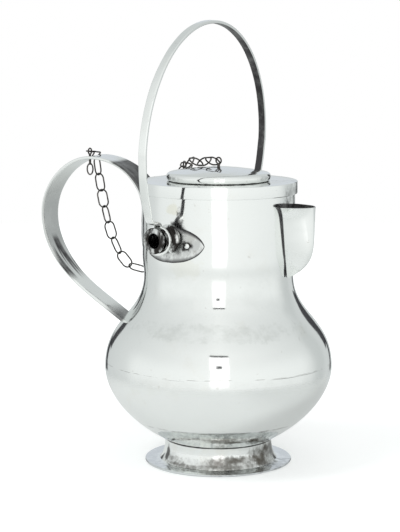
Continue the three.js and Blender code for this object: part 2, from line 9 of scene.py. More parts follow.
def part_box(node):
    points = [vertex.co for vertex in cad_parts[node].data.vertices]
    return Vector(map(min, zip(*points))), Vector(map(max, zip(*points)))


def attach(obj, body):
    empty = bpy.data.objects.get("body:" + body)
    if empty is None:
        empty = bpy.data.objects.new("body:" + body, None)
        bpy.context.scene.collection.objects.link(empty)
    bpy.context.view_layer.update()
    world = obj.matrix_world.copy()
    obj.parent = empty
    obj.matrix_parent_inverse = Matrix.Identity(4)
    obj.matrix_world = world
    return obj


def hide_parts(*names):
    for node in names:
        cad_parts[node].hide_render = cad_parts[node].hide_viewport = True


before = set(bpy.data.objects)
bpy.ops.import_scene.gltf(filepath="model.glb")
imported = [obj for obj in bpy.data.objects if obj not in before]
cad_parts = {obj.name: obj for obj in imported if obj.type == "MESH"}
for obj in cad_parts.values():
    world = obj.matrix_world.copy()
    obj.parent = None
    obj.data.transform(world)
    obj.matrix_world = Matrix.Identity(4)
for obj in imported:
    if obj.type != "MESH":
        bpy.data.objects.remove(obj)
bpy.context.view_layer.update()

# Sizes are in millimetres from the jug's axis, as in the source, and MM turns them into metres
MM = 0.001
foot_low, foot_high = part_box("foot_ring")
AXIS = (foot_low.x + foot_high.x) / 2
AXIS_FOOT = (AXIS, 0, 0)
NEAR_AXIS = 0.05
FIT_GAP = 0.3

# Body and foot
WALL = 1.4
SEAM_LEVEL = 79.5
BULB_RADIUS, BULB_LEVEL = 88.8, 76.4
NECK_RADIUS, NECK_FOOT_LEVEL = 59.3, 163.0
WAIST_RADIUS, WAIST_LEVEL = 58.1, 148.2
RIM_LEVEL, FLOOR_LEVEL = 219.4, 10.2
SEAT_INNER, FOOT_SEAT, SEAT_OUTER = (40.8, 17.7), (42.2, 18.5), (44.2, 19.7)
FLARE_END, FOOT_MOUTH = (46.0, 2.1), (43.8, 0)
FLANGE_RADIUS, FLANGE_THICKNESS = 57.7, 1.5
HOLE_HALF, HOLE_BOTTOM, HOLE_TOP = 5.0, 172.0, 199.0

# Lid
LID_INNER, LID_OUTER, LID_TOP, SKIRT = 59.8, 61.0, 220.7, 8
PIN_HOLE = 1.8
DISC_RADIUS, DISC_HEIGHT, DOME_HEIGHT, DOME_WALL = 40.6, 6.0, 4.3, 1.2
DISC_TOP = LID_TOP + DISC_HEIGHT

# Spout
SPOUT_TOP, SPOUT_DEPTH, SPOUT_REACH, SPOUT_HALF, SPOUT_WALL = 203.6, 54.5, 22.0, 15.0, 1.3

# Strap handle
STRAP = 2.5
LEAF_RADIUS = NECK_RADIUS + FIT_GAP + STRAP / 2
LEAF_FOOT, LEAF_TOP, LOOP_TOP = 163, 196, 234.6
LEAF_WIDTH, LEAF_TOP_WIDTH, LOOP_WIDTH, FOOT_WIDTH = 32, 30.1, 25, 20
STRAP_TOP = LOOP_TOP + STRAP / 2

# Lugs and rivets
PIVOT = (-14.4, 70.9, 180.9)
PLATE_RADIUS = 60.8
PLATE_HALF_ANGLE = math.radians(28.5)
PLATE_HALF_HEIGHT, PLATE_TIP, PLATE_DROP = 13.6, 0.6, 4.3
PLATE_FULLNESS, PLATE_TAPER = 2.3, 0.62
RIVET_RADIUS, RIVET_HEAD, RIVET_DOME, RIVET_INSET = 1.1, 2.1, 1.05, 13
BOSS_RADIUS, BOSS_BASE, BOSS_LIP, BOSS_HOLE = 7.8, 11, 9.9, 5.4
LIP_GAP, LIP_THICKNESS, BOSS_FLOOR = 2.2, 1.8, 3

# Bail
BAIL_HALF, LEG_TOP, ARCH_RISE, LIP_RUN = 98.7, 65.9, 95.6, 13.2
STRIP_HALF, STRIP_THICK_HALF, STRIP_ROUND = 3.05, 1.3, 0.8
EYE_INNER, EYE_OUTER = 8.3, 11.4
BAIL_LEAN = math.radians(3)

# Chain and pins
WIRE = 0.6
PIN_EYE, PIN_EYE_HEIGHT, SHANK_TO_EYE = 2.4, 5, 2.1
LID_SHANK, LID_TAIL, HANDLE_SHANK = 1.1, 0.8, 0.95
PIN_REACH = 116.5
LOOP_WIDE, LOOP_HIGH, LOOP_DROP = 2.3, 4.4, 8.6


# Objects
def add_object(name, data):
    made = bpy.data.objects.new(name, data)
    bpy.context.scene.collection.objects.link(made)
    return made


def aim(made, place, direction):
    """Puts a camera or a lamp at a place and points it along a direction."""
    made.location = place
    made.rotation_mode = "QUATERNION"
    made.rotation_quaternion = direction.to_track_quat("-Z", "Y")


# Camera, at the photograph's angle
CAMERA_TURN, CAMERA_TIP = math.radians(28), math.radians(8.2)
CAMERA_HEIGHT, CAMERA_BACK, CAMERA_LEFT = 0.344, 1.3205, 0.0144
SENSOR_WIDTH, LENS = 36, 154.08
ahead = Vector((-math.sin(CAMERA_TURN), math.cos(CAMERA_TURN), 0))
right = Vector((math.cos(CAMERA_TURN), math.sin(CAMERA_TURN), 0))
camera_data = bpy.data.cameras.new("camera")
camera_data.sensor_fit = "HORIZONTAL"
camera_data.sensor_width = SENSOR_WIDTH
camera_data.lens = LENS
camera_data.clip_start, camera_data.clip_end = 0.01, 50
camera = add_object("camera", camera_data)
camera_place = Vector((AXIS, 0, CAMERA_HEIGHT)) - ahead * CAMERA_BACK - right * CAMERA_LEFT
aim(camera, camera_place, ahead * math.cos(CAMERA_TIP) - Vector((0, 0, math.sin(CAMERA_TIP))))
bpy.context.scene.camera = camera


# Curves and outlines
def bezier(*points, steps=12):
    """Points on a Bezier curve of any degree."""
    points = np.array(points, float)
    degree = len(points) - 1
    shares = np.linspace(0, 1, steps + 1)[:, None]
    weights = [math.comb(degree, i) * (1 - shares) ** (degree - i) * shares ** i for i in range(degree + 1)]
    return sum(weight * point for weight, point in zip(weights, points))


def joined(*curves):
    """One line from curves that each start where the one before ends."""
    return np.vstack([curves[0], *(curve[1:] for curve in curves[1:])])


def eased(points, radius, closed=True, steps=4):
    """The outline with each corner rounded over about that radius."""
    points = [np.array(p, float) for p in points]
    made = []
    count = len(points)
    for i, here in enumerate(points):
        if not closed and i in (0, count - 1):
            made.append(here)
            continue
        before, after = points[i - 1] - here, points[(i + 1) % count] - here
        reach = min(radius, 0.45 * np.linalg.norm(before), 0.45 * np.linalg.norm(after))
        start = here + before / np.linalg.norm(before) * reach
        end = here + after / np.linalg.norm(after) * reach
        made.extend(bezier(start, here, end, steps=steps))
    return np.array(made)


def directions(line, closed=False):
    """The unit direction of a line's run at each of its points."""
    run = np.roll(line, -1, axis=0) - np.roll(line, 1, axis=0) if closed else np.gradient(line, axis=0)
    return run / np.linalg.norm(run, axis=1)[:, None]


def offset(line, distance):
    """A line of (radius, height) points moved to the left of its run."""
    run = directions(line)
    return line + distance * np.stack([-run[:, 1], run[:, 0]], axis=1)


def smooth_path(points, steps, closed=False):
    """Points spread evenly along a centripetal Catmull-Rom curve."""
    points = np.array(points, float)
    if closed:
        ring = np.vstack([points[-1:], points, points[:2]])
    else:
        ring = np.vstack([2 * points[:1] - points[1:2], points, 2 * points[-1:] - points[-2:-1]])
    dense = []
    for p0, p1, p2, p3 in zip(ring, ring[1:], ring[2:], ring[3:]):
        gaps = [max(np.linalg.norm(b - a), 1e-9) ** 0.5 for a, b in ((p0, p1), (p1, p2), (p2, p3))]
        k0, k1, k2, k3 = np.cumsum([0] + gaps)
        for t in np.linspace(k1, k2, 24, endpoint=False):
            a1 = ((k1 - t) * p0 + (t - k0) * p1) / (k1 - k0)
            a2 = ((k2 - t) * p1 + (t - k1) * p2) / (k2 - k1)
            a3 = ((k3 - t) * p2 + (t - k2) * p3) / (k3 - k2)
            b1 = ((k2 - t) * a1 + (t - k0) * a2) / (k2 - k0)
            b2 = ((k3 - t) * a2 + (t - k1) * a3) / (k3 - k1)
            dense.append(((k2 - t) * b1 + (t - k1) * b2) / (k2 - k1))
    dense.append(ring[1] if closed else points[-1])
    dense = np.array(dense)
    length = np.concatenate([[0], np.cumsum(np.linalg.norm(np.diff(dense, axis=0), axis=1))])
    wanted = np.linspace(0, length[-1], steps + 1)
    if closed:
        wanted = wanted[:-1]
    return np.stack([np.interp(wanted, length, dense[:, k]) for k in range(3)], axis=1)


# Meshes from grids of points
def grid_faces(rows, columns, wrap_rows=False, wrap_columns=False):
    """Four-sided faces between the points of a grid, which may close on itself either way."""
    faces = []
    for i in range(rows if wrap_rows else rows - 1):
        low, high = i * columns, (i + 1) % rows * columns
        for k in range(columns if wrap_columns else columns - 1):
            beside = (k + 1) % columns
            faces.append((low + k, high + k, high + beside, low + beside))
    return faces


def capped_faces(rows, columns):
    """Faces of a run of closed rings, with one face over each end."""
    count = rows * columns
    ends = [tuple(range(columns)), tuple(range(count - 1, count - 1 - columns, -1))]
    return grid_faces(rows, columns, wrap_columns=True) + ends


def capped(rings):
    """Points and faces of a body made of rings."""
    return rings.reshape(-1, 3), capped_faces(len(rings), rings.shape[1])


def in_metres(points):
    """Points in millimetres from the jug's axis, put where they are in the scene."""
    return np.array(points, float) * MM + AXIS_FOOT


def swell(points, amount, size, seed):
    """A smooth random height at each point, for the uneven surface that a hammer leaves."""
    shift = Vector((seed, 2.7 * seed, -1.3 * seed))
    return np.array([amount * noise.noise(Vector(p) / size + shift) for p in points])


def vertex_normals(mesh):
    normals = np.zeros(len(mesh.vertices) * 3, np.float32)
    mesh.vertices.foreach_get("normal", normals)
    return normals.reshape(-1, 3)


def turn_outward(mesh, points):
    """Turns the faces of a closed mesh outward."""
    mesh.calc_loop_triangles()
    corners = np.zeros(len(mesh.loop_triangles) * 3, np.int32)
    mesh.loop_triangles.foreach_get("vertices", corners)
    a, b, c = points[corners.reshape(-1, 3).T]
    if np.einsum("ij,ij->i", a, np.cross(b, c)).sum() < 0:
        mesh.flip_normals()


def shade(mesh, sharp=35):
    """Smooth shading, with an edge wherever faces meet at more than that angle."""
    mesh.shade_smooth()
    mesh.set_sharp_from_angle(angle=math.radians(sharp))


def piece(name, points, faces, body, material, stands_for, slot="silver", sharp=35, dents=()):
    """Makes a closed piece from points in millimetres. Each dent is (height, size, seed)."""
    mesh = bpy.data.meshes.new(name)
    points = np.array(points, float)
    mesh.from_pydata(in_metres(points).tolist(), [], faces)
    mesh.validate()
    turn_outward(mesh, points)
    if dents:
        height = sum(swell(points, *dent) for dent in dents)
        dented = points + vertex_normals(mesh) * height[:, None]
        mesh.vertices.foreach_set("co", in_metres(dented).astype(np.float32).ravel())
    mesh.update()
    shade(mesh, sharp)
    mesh.materials.append(material)
    made = add_object(name, mesh)
    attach(made, body)
    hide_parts(*stands_for)
    return made


def paint_shade_and_dirt(made, amounts):
    """Gives each vertex its share of the painted shade and dirt that the material lays on it."""
    layer = made.data.attributes.new("shade_and_dirt", "FLOAT", "POINT")
    layer.data.foreach_set("value", np.array(amounts, np.float32).ravel())


def turned(profile, steps):
    """Points and faces of a body turned round Z from (radius, height) points, closed on itself."""
    radius, height = np.array(profile, float).T[:, None]
    angle = np.linspace(0, 2 * math.pi, steps, endpoint=False)[:, None]
    points = np.stack([radius * np.cos(angle), radius * np.sin(angle), height + 0 * angle], axis=2)
    return points.reshape(-1, 3), grid_faces(steps, len(profile), True, True)


def outward(points, bearing, level):
    """Stands a body made along Z on the neck, pointing out along the radius."""
    x, y, z = np.array(points, float).T
    c, s = math.cos(bearing), math.sin(bearing)
    return np.stack([z * c - y * s, z * s + y * c, level - x], axis=1)


def tube(path, radius, flat, closed=True, sides=12):
    """Points and faces of a round wire along a path."""
    path = np.array(path, float)
    along = directions(path, closed)
    side = np.cross(np.array(flat, float), along)
    side /= np.linalg.norm(side, axis=1)[:, None]
    up = np.cross(along, side)
    angle = 2 * math.pi * np.arange(sides) / sides
    ring = side[:, None] * np.cos(angle)[None, :, None] + up[:, None] * np.sin(angle)[None, :, None]
    points = (path[:, None] + ring * radius).reshape(-1, 3)
    faces = grid_faces(len(path), sides, True, True) if closed else capped_faces(len(path), sides)
    return points, faces


def together(*shapes):
    """One mesh from several shapes."""
    points, faces = [], []
    for some_points, some_faces in shapes:
        start = len(points)
        points.extend(np.array(some_points, float).tolist())
        faces.extend(tuple(start + i for i in face) for face in some_faces)
    return np.array(points), faces


# Materials
class Nodes:
    """A small helper for building a node tree."""

    def __init__(self, tree):
        self.tree = tree
        tree.nodes.clear()

    def add(self, kind, inputs=None, **settings):
        """A node with its settings and its inputs, each a value or another node's output."""
        node = self.tree.nodes.new(kind)
        for key, value in settings.items():
            setattr(node, key, value)
        for key, value in (inputs or {}).items():
            if isinstance(value, bpy.types.NodeSocket):
                self.tree.links.new(value, node.inputs[key])
            else:
                node.inputs[key].default_value = value
        return node

    def math(self, operation, *values):
        return self.add("ShaderNodeMath", dict(enumerate(values)), operation=operation).outputs[0]

    def plus(self, a, b):
        return self.math("ADD", a, b)

    def minus(self, a, b):
        return self.math("SUBTRACT", a, b)

    def times(self, a, b):
        return self.math("MULTIPLY", a, b)

    def rest(self, share):
        """What a share leaves of 1."""
        return self.minus(1.0, share)

    def ramp(self, value, low, high, smooth=True):
        """From 0 at low to 1 at high, level beyond both, and smooth or straight between."""
        inputs = {"Value": value, "From Min": low, "From Max": high}
        kind = "SMOOTHSTEP" if smooth else "LINEAR"
        return self.add("ShaderNodeMapRange", inputs, interpolation_type=kind).outputs["Result"]

    def window(self, value, low, high, soft):
        """1 between low and high, fading over soft."""
        rising = self.ramp(value, low - soft, low + soft)
        falling = self.ramp(value, high - soft, high + soft)
        return self.times(rising, self.rest(falling))

    def mix(self, share, a, b):
        """Colour a, going over to colour b as the share goes from 0 to 1."""
        return self.add("ShaderNodeMix", {"Factor": share, 6: a, 7: b}, data_type="RGBA").outputs[2]

    def noise(self, place, scale, detail, rough, stretch=None):
        if stretch:
            place = self.add("ShaderNodeMapping", {"Vector": place, "Scale": stretch}).outputs[0]
        inputs = {"Vector": place, "Scale": scale, "Detail": detail, "Roughness": rough}
        return self.add("ShaderNodeTexNoise", inputs).outputs["Fac"]

    def place(self):
        return self.add("ShaderNodeTexCoord").outputs["Object"]

    def parts(self, vector):
        """The x, y and z of a vector."""
        return self.add("ShaderNodeSeparateXYZ", {0: vector}).outputs

    def metal(self, colour, rough, bump):
        """Ends the tree in a metal surface."""
        inputs = {"Base Color": colour, "Metallic": 1.0, "Roughness": rough, "Normal": bump.outputs[0]}
        shader = self.add("ShaderNodeBsdfPrincipled", inputs)
        self.add("ShaderNodeOutputMaterial", {"Surface": shader.outputs[0]})


def new_material(name):
    material = bpy.data.materials.new(name)
    material.use_nodes = True
    return material, Nodes(material.node_tree)


WHITE = (1, 1, 1, 1)
SILVER = (0.91, 0.925, 0.91, 1)
WARM = (0.80, 0.77, 0.68, 1)
BROWN = (0.30, 0.235, 0.17, 1)
BLACK = (0.035, 0.032, 0.030, 1)
# Grey for the painted shade, and on the plates the dirt, that a vertex attribute lays on
SHADE_AND_DIRT_GREY = (0.07, 0.067, 0.07, 1)
SEAM_GREY = (0.22, 0.21, 0.19, 1)
YELLOW = (0.78, 0.74, 0.55, 1)
# Near black, used for painted shade and for the dark solder line and patches
SHADE_AND_SOOT = (0.03, 0.028, 0.027, 1)
TIN = (0.55, 0.58, 0.62, 1)
CLOUD = (0.62, 0.64, 0.61, 1)
UMBER = (0.11, 0.10, 0.085, 1)
WIRE_DARK, WIRE_GREY, WIRE_WORN = (0.03, 0.028, 0.026, 1), (0.11, 0.10, 0.095, 1), (0.40, 0.38, 0.36, 1)
ALL_ROUND = 1000

# A mark's bearing and half its width are in degrees, and patches is the scale of the gaps in it, 0 for none
Mark = namedtuple("Mark", "bearing level wide high amount colour patches", defaults=(0,))


def stained(n, place, shine, stain):
    """The colour and roughness of silver with clouds of warm stain and small brown spots."""
    cloud = n.noise(place, 26, 4, 0.6)
    blotch = n.ramp(cloud, 0.56, 0.74)
    spots = n.ramp(n.noise(place, 210, 3, 0.6), 0.68, 0.74)
    colour = n.mix(n.times(blotch, stain), SILVER, WARM)
    colour = n.mix(n.times(spots, 0.35 * min(1, stain * 2)), colour, BROWN)
    return colour, n.plus(n.times(cloud, 0.06), shine)


def crusted(n, place, colour, rough, soot):
    """Adds a broken crust of soot all over."""
    crust = n.ramp(n.noise(place, 150, 4, 0.6, (1, 1, 0.5)), 0.32, 0.52)
    return n.mix(n.times(crust, soot), colour, BLACK), n.plus(rough, n.times(crust, 0.2 * soot))


def with_shade_and_dirt(n, place, colour, rough):
    """Adds the painted shade and dirt, as much of it as each vertex is given."""
    amount = n.add("ShaderNodeAttribute", attribute_name="shade_and_dirt").outputs["Fac"]
    crust = n.ramp(n.noise(place, 90, 4, 0.6), 0.30, 0.56)
    share = n.times(amount, n.plus(n.times(crust, 0.13), 0.87))
    return n.mix(share, colour, SHADE_AND_DIRT_GREY), n.plus(rough, n.times(share, 0.25))


def marked(n, place, colour, rough, marks):
    """Adds tarnish and painted shade in patches with ragged edges, each at its bearing round the jug and its
    level.
    """
    x, y, z = n.parts(place)
    level = n.times(z, 1 / MM)
    bearing = n.times(n.math("ARCTAN2", y, n.minus(x, AXIS)), 180 / math.pi)
    wobble = n.times(n.minus(n.noise(place, 200, 4, 0.65), 0.5), 1.6)
    for mark in marks:
        across = n.math("DIVIDE", n.minus(bearing, mark.bearing), mark.wide)
        up = n.math("DIVIDE", n.minus(level, mark.level), mark.high)
        reach = n.math("SQRT", n.plus(n.times(across, across), n.times(up, up)))
        share = n.times(n.rest(n.ramp(n.plus(reach, wobble), 0.55, 1.1)), mark.amount)
        if mark.patches:
            share = n.times(share, n.ramp(n.noise(place, mark.patches, 5, 0.65), 0.35, 0.68))
        colour = n.mix(share, colour, mark.colour)
        rough = n.plus(rough, n.times(share, 0.12))
    return colour, rough


def seamed(n, place, colour):
    """Adds the faint broken line just above the seam."""
    level = n.times(n.parts(place)[2], 1 / MM)
    drift = n.times(n.minus(n.noise(place, 22, 5, 0.6), 0.5), 4.0)
    gap = n.math("ABSOLUTE", n.minus(n.minus(level, SEAM_LEVEL + 1.3), drift))
    line = n.rest(n.ramp(gap, 0.1, 0.32))
    broken = n.ramp(n.noise(place, 60, 4, 0.6), 0.44, 0.54)
    return n.mix(n.times(n.times(line, broken), 0.55), colour, SEAM_GREY)


def hammered(n, place, strength):
    """The bump of shallow hammer marks with fine scratches over them."""
    inputs = {"Vector": place, "Scale": 95.0, "Smoothness": 1.0}
    facets = n.add("ShaderNodeTexVoronoi", inputs, feature="SMOOTH_F1").outputs["Distance"]
    height = n.plus(n.times(facets, 0.35), n.noise(place, 60, 2, 0.4))
    bump = n.add("ShaderNodeBump", {"Height": height, "Strength": strength, "Distance": 0.0012})
    scratch = n.noise(place, 700, 2, 0.5, (1, 1, 0.08))
    inputs = {"Height": scratch, "Strength": 0.05, "Distance": 0.0002, "Normal": bump.outputs[0]}
    return n.add("ShaderNodeBump", inputs)


def silver_material(name, shine, hammer, stain, soot=0.0, skin=False, marks=(), seam=False):
    """Polished silver, as rough as shine says, with hammer marks, stains and tarnish, and with painted shade
    where skin or marks lay it.
    """
    material, n = new_material(name)
    place = n.place()
    colour, rough = stained(n, place, shine, stain)
    if soot:
        colour, rough = crusted(n, place, colour, rough, soot)
    if skin:
        colour, rough = with_shade_and_dirt(n, place, colour, rough)
    if marks:
        colour, rough = marked(n, place, colour, rough, marks)
    if seam:
        colour = seamed(n, place, colour)
    n.metal(colour, rough, hammered(n, place, hammer))
    return material


def wire_material(name):
    """Darkened wire, worn brighter where it rubs."""
    material, n = new_material(name)
    place = n.place()
    patch = n.ramp(n.noise(place, 420, 3, 0.6), 0.38, 0.66)
    worn = n.ramp(n.noise(place, 160, 2, 0.5), 0.45, 0.70)
    colour = n.mix(n.times(worn, 0.28), n.mix(patch, WIRE_DARK, WIRE_GREY), WIRE_WORN)
    bump = n.add("ShaderNodeBump", {"Height": patch, "Strength": 0.35, "Distance": 0.0002})
    n.metal(colour, n.minus(0.42, n.times(worn, 0.18)), bump)
    return material


body_silver = silver_material("silver_body", 0.05, 0.10, 0.22, seam=True, marks=[
    Mark(-98.6, 203, 6, 5, 0.35, YELLOW),
    # Painted shade above the lug, where the bail's leg and the boss darken the neck
    Mark(-92, 199, 2.5, 7, 0.9, SHADE_AND_SOOT, 300),
    Mark(-94, 190, 8, 7, 1.0, SHADE_AND_SOOT, 160),
    Mark(-88, 160, 14, 10, 0.15, YELLOW),
    Mark(-66, 113, 70, 7, 0.40, CLOUD, 70),
    # Painted shade under the lid, beside the spout
    Mark(7, 204, 17, 9, 0.9, SHADE_AND_SOOT, 120),
    Mark(22, 205, 5, 9, 0.85, SHADE_AND_SOOT),
    Mark(-60, 140, 60, 18, 0.12, CLOUD, 60),
])
lower_silver = silver_material("silver_bulb", 0.05, 0.10, 0.22, marks=[
    # Painted shadow line under the bulb, above the foot
    Mark(-62, 35.6, 72, 1.0, 0.6, UMBER, 120),
    Mark(-62, 75, 100, 5, 0.13, CLOUD, 70),
])
foot_silver = silver_material("silver_foot", 0.08, 0.25, 0.3, marks=[
    Mark(0, 18.3, ALL_ROUND, 0.6, 1.0, SHADE_AND_SOOT),
    Mark(-129, 9, 5, 7, 0.9, SHADE_AND_SOOT),
    Mark(-112, 6, 16, 4, 0.7, UMBER, 90),
    Mark(-50, 6, 50, 5.5, 1.0, UMBER, 45),
    Mark(-4, 9, 28, 11, 1.0, UMBER, 45),
    Mark(14, 10, 14, 9, 1.0, SHADE_AND_SOOT, 50),
    Mark(-62, 3.4, 80, 1.8, 0.75, UMBER, 60),
    Mark(0, 0.6, ALL_ROUND, 1.5, 0.4, TIN),
])
lid_silver = silver_material("silver_lid", 0.05, 0.14, 0.25, marks=[
    # Painted shade at the right of the lid's skirt
    Mark(6, 214, 14, 7, 0.5, SHADE_AND_SOOT, 45),
    Mark(21, 214, 6, 8, 0.9, SHADE_AND_SOOT),
])
disc_silver = silver_material("silver_disc", 0.05, 0.14, 0.25, marks=[
    # Painted shade in the joint where the disc sits on the cap
    Mark(0, LID_TOP + 0.2, ALL_ROUND, 0.6, 0.8, SHADE_AND_SOOT),
    Mark(-125, 223.6, 28, 2.0, 0.5, SHADE_AND_SOOT, 200),
    Mark(5, 223.6, 26, 2.0, 0.5, SHADE_AND_SOOT, 200),
])
spout_silver = silver_material("silver_spout", 0.07, 0.18, 0.35, skin=True)
strap_silver = silver_material("silver_strap", 0.06, 0.16, 0.2, skin=True)
bail_silver = silver_material("silver_bail", 0.07, 0.2, 0.2, skin=True)
lug_silver = silver_material("silver_lug", 0.12, 0.4, 0.5, soot=1.0)
plate_silver = silver_material("silver_plate", 0.08, 0.3, 0.4, soot=0.35, skin=True, marks=[
    # Painted shade on the plate round the boss
    Mark(-85.6, 176.6, 4.6, 4.4, 1.0, SHADE_AND_SOOT),
    Mark(-100, 181, 14, 14, 0.85, SHADE_AND_SOOT, 130),
])
rivet_silver = silver_material("silver_rivet", 0.08, 0.3, 0.4)
dark_wire = wire_material("dark_wire")

# Body: two shells that meet at the seam
STEPS = 256
HAMMERED = ((0.30, 46.0, 1.0), (0.07, 13.0, 5.0))
belly, waist = (BULB_RADIUS, BULB_LEVEL), (WAIST_RADIUS, WAIST_LEVEL)
neck_foot, neck_top = (NECK_RADIUS, NECK_FOOT_LEVEL), (NECK_RADIUS, RIM_LEVEL)
outer_line = joined(
    bezier((NEAR_AXIS, FLOOR_LEVEL), (26, FLOOR_LEVEL), SEAT_INNER, steps=14),
    bezier(SEAT_INNER, FOOT_SEAT, SEAT_OUTER, steps=5),
    bezier(SEAT_OUTER, (64.5, 30.2), (BULB_RADIUS, BULB_LEVEL - 24.4), belly, steps=44),
    bezier(belly, (BULB_RADIUS, BULB_LEVEL + 36.6), (WAIST_RADIUS, WAIST_LEVEL - 32.2), waist, steps=60),
    bezier(waist, (WAIST_RADIUS, WAIST_LEVEL + 6), (NECK_RADIUS, NECK_FOOT_LEVEL - 5), neck_foot, steps=8),
    bezier(neck_foot, neck_top, steps=26),
)
inner_line = offset(outer_line, WALL)
inner_line[0, 0] = NEAR_AXIS
inner_line[-1] = (NECK_RADIUS - WALL, RIM_LEVEL)
seam = int(np.abs(outer_line[:, 1] - SEAM_LEVEL).argmin())
shape = turned(np.vstack([outer_line[:seam + 1], inner_line[:seam + 1][::-1]]), STEPS)
piece("bulb_shell", *shape, "jug", lower_silver, stands_for=["body_lower"], dents=HAMMERED)
shape = turned(np.vstack([outer_line[seam:], inner_line[seam:][::-1]]), STEPS)
neck_shell = piece("neck_shell", *shape, "jug", body_silver, stands_for=["body_upper"], dents=HAMMERED)


# The pouring hole behind the spout
def round_end(centre, start):
    """Half a circle at one end of the hole, as (y, level) points."""
    angles = np.linspace(start, start + math.pi, 17)
    return [(HOLE_HALF * math.cos(a), centre + HOLE_HALF * math.sin(a)) for a in angles]


def cut_hole(neck):
    """Cuts the hole out of the neck with a plug that stands through its wall."""
    rim = round_end(HOLE_TOP - HOLE_HALF, 0) + round_end(HOLE_BOTTOM + HOLE_HALF, math.pi)
    points = [(NECK_RADIUS + side, y, z) for side in (-6, 4) for y, z in rim]
    plug_mesh = bpy.data.meshes.new("plug")
    plug_mesh.from_pydata(in_metres(points).tolist(), [], capped_faces(2, len(rim)))
    plug = add_object("plug", plug_mesh)
    cutter = neck.modifiers.new("hole", "BOOLEAN")
    cutter.operation, cutter.solver, cutter.object = "DIFFERENCE", "EXACT", plug
    bpy.context.view_layer.update()
    cut_mesh = bpy.data.meshes.new_from_object(neck.evaluated_get(bpy.context.evaluated_depsgraph_get()))
    neck.modifiers.clear()
    neck.data = cut_mesh
    shade(cut_mesh)
    bpy.data.objects.remove(plug)


cut_hole(neck_shell)

# Ring foot
flare = bezier(FOOT_SEAT, (41.0, 8.3), FLARE_END, steps=16)
flange = eased([
    FLARE_END, (49.5, FLANGE_THICKNESS + 0.05), (57.2, FLANGE_THICKNESS),
    (FLANGE_RADIUS, 0.9), (57.3, 0), FOOT_MOUTH,
], 0.7, closed=False)
inside = bezier(FOOT_MOUTH, (39.4, 8.3), SEAT_INNER, steps=14)
shape = turned(np.vstack([flare, flange[1:-1], inside]), STEPS)
piece("foot", *shape, "jug", foot_silver, stands_for=["foot_ring"],
      dents=((0.35, 22.0, 9.0), (0.12, 7.0, 3.0)))

# Lid: a slip-on cap with a domed disc on top
skirt_level = RIM_LEVEL - SKIRT
cap = eased([
    (PIN_HOLE, RIM_LEVEL), (LID_INNER, RIM_LEVEL), (LID_INNER, skirt_level), (LID_OUTER, skirt_level),
    (LID_OUTER, LID_TOP), (52, LID_TOP), (30, LID_TOP), (PIN_HOLE, LID_TOP),
], 0.45)
piece("lid_slip_cap", *turned(cap, STEPS), "lid", lid_silver, stands_for=["lid_cap"],
      dents=((0.25, 40.0, 2.0), (0.05, 9.0, 2.0)))
dome_radii = np.linspace(DISC_RADIUS * 0.95, PIN_HOLE, 26)
dome = [(r, DISC_TOP + DOME_HEIGHT * (1 - (r / DISC_RADIUS) ** 2)) for r in dome_radii]
side_wall = eased([
    (39.0, LID_TOP), (40.4, LID_TOP + 1.4), (DISC_RADIUS, LID_TOP + 4.0), (39.8, DISC_TOP - 0.4), dome[0],
], 1.1, closed=False)
under = [(r, z - DOME_WALL) for r, z in dome[::-1]]
inner_wall = [(39.3, DISC_TOP - 2.2), (39.3, LID_TOP + 1.8), (37.9, LID_TOP)]
disc = np.vstack([side_wall[:-1], dome, under, inner_wall])
piece("lid_raised_disc", *turned(disc, STEPS), "lid", disc_silver, stands_for=["lid_disc"],
      dents=((0.30, 24.0, 7.0), (0.10, 8.0, 6.0)))

# Spout: half a cup soldered to the neck, given as shares of its depth, its width and its reach
SPOUT_DOWN = [0, 0.05, 0.13, 0.3, 0.5, 0.66, 0.78, 0.88, 0.95, 1]
SPOUT_WIDE = [1, 0.86, 0.74, 0.62, 0.5, 0.39, 0.29, 0.19, 0.11, 0.05]
SPOUT_OUT = [1, 1, 1, 1, 0.985, 0.92, 0.78, 0.55, 0.3, 0.1]
SPOUT_ANGLES = np.radians([-90, -88.8, -87, *np.linspace(-83, 83, 31), 87, 88.8, 90])
SPOUT_ROWS, SPOUT_LEAST, SPOUT_SUNK = 44, 0.3, 0.5


def spout_skin(inset):
    """One skin of the cup, its side edges run back into the neck."""
    skin = []
    for down, wide, out in smooth_path(list(zip(SPOUT_DOWN, SPOUT_WIDE, SPOUT_OUT)), SPOUT_ROWS):
        half = max(SPOUT_HALF * wide - inset, SPOUT_LEAST)
        reach = max(SPOUT_REACH * out - inset, SPOUT_LEAST)
        level = SPOUT_TOP - SPOUT_DEPTH * down + inset * min(1, down * 1.4)
        back = math.sqrt(NECK_RADIUS ** 2 - half ** 2) - SPOUT_SUNK
        x = np.array([back, *(NECK_RADIUS + reach * np.cos(SPOUT_ANGLES)), back])
        y = np.array([-half, *(half * np.sin(SPOUT_ANGLES)), half])
        skin.append(np.stack([x, y, np.full(len(x), level)], axis=1))
    return np.array(skin)


def lip_ring(outer_edge, inner_edge, share):
    """A line along the cup's rounded lip, between its two skins."""
    ring = outer_edge * (1 - share) + inner_edge * share
    ring[:, 2] += 0.45 * math.sin(math.pi * share)
    return ring


outer, inner = spout_skin(0), spout_skin(SPOUT_WALL)
lip = [lip_ring(outer[0], inner[0], share) for share in (0.25, 0.5, 0.75)]
rows = np.array([*outer[::-1], *lip, *inner])
count, width = rows.shape[:2]
faces = grid_faces(count, width)
for k in (0, width - 1):
    for i in range((count - 1) // 2):
        near, far = i * width + k, (count - 1 - i) * width + k
        side = (near, near + width, far - width, far)
        faces.append(side if k else side[::-1])
last_row = (count - 1) * width
faces += [(k, k + 1, last_row + k + 1, last_row + k) for k in range(width - 1)]
spout = piece("spout_cup", rows.reshape(-1, 3), faces, "jug", spout_silver,
              stands_for=["spout"], sharp=50, dents=((0.20, 14.0, 4.0),))
